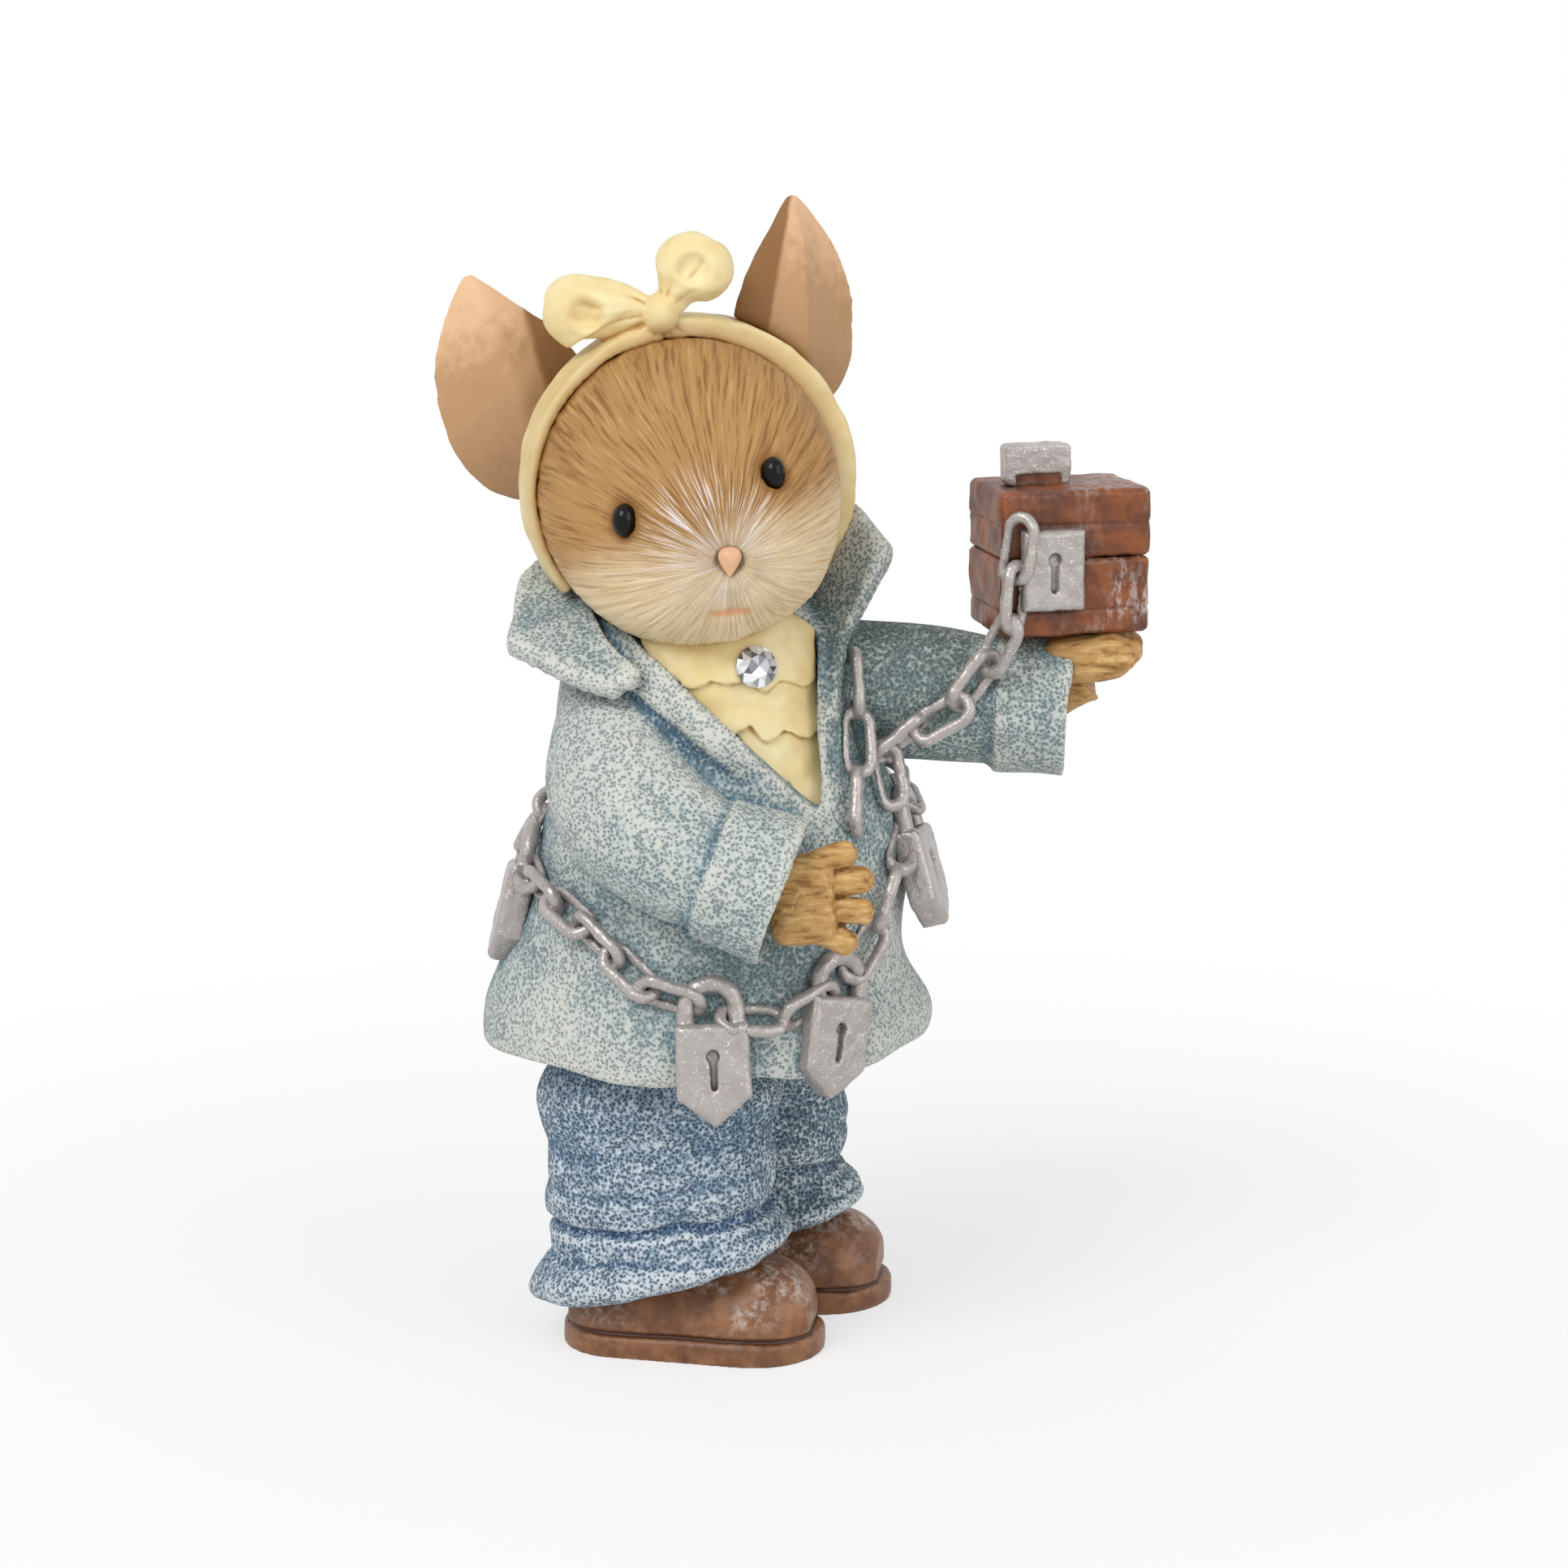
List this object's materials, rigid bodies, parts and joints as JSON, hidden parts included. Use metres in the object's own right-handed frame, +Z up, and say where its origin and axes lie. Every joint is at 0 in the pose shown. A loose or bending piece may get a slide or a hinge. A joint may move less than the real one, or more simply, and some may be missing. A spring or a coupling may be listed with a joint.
{
  "type": "mouse figurine",
  "caption": "Standing mouse figurine in a long blue coat with a bow headband, draped in a chain with padlocks and holding up a small chest.",
  "frame": {"origin": "on the floor under the middle of the figure's overall box", "axes": "+Z up; the face looks along -Y; +X is the viewer's right, the side on which the chest is held up"},
  "size_m": [0.0516, 0.0356, 0.0846],
  "materials": {
    "fur": "matt painted resin, brushed streaks",
    "ear_skin": "matt painted resin",
    "eye_bead": "high gloss",
    "nose_skin": "satin",
    "cream_cloth": "matt painted resin, ochre in the creases",
    "crystal": "faceted, clear with a silvered back",
    "coat_cloth": "matt, pitted and dry-brushed pale",
    "trouser_cloth": "matt, pitted and dry-brushed pale",
    "paw": "matt painted resin",
    "shoe_leather": "satin, worn pale on the edges",
    "chest_wood": "satin, worn pale on the edges",
    "silver_paint": "pearl silver with fine glitter"
  },
  "bodies": {
    "root": {"head": "fur", "right_ear": "ear_skin", "left_ear": "ear_skin", "right_eye": "eye_bead", "left_eye": "eye_bead", "nose": "nose_skin", "headband": "cream_cloth", "bow_knot": "cream_cloth", "bow_right_loop": "cream_cloth", "bow_left_loop": "cream_cloth", "shirt_front": "cream_cloth", "crystal": "crystal", "coat_body": "coat_cloth", "collar": "coat_cloth", "right_sleeve": "coat_cloth", "right_cuff": "coat_cloth", "left_sleeve": "coat_cloth", "left_cuff": "coat_cloth", "right_hand": "paw", "left_hand": "paw", "right_leg": "trouser_cloth", "left_leg": "trouser_cloth", "right_shoe_upper": "shoe_leather", "left_shoe_upper": "shoe_leather", "right_shoe_sole": "shoe_leather", "left_shoe_sole": "shoe_leather", "chest_box": "chest_wood", "chest_lid": "chest_wood", "chest_handle": "silver_paint", "chest_lock": "silver_paint", "waist_chain": "silver_paint", "lapel_chain": "silver_paint", "arm_chain": "silver_paint", "front_padlock": "silver_paint", "front_shackle": "silver_paint", "hip_padlock": "silver_paint", "hip_shackle": "silver_paint", "left_padlock": "silver_paint", "left_shackle": "silver_paint", "right_padlock": "silver_paint", "right_shackle": "silver_paint"}
  },
  "joints": []
}
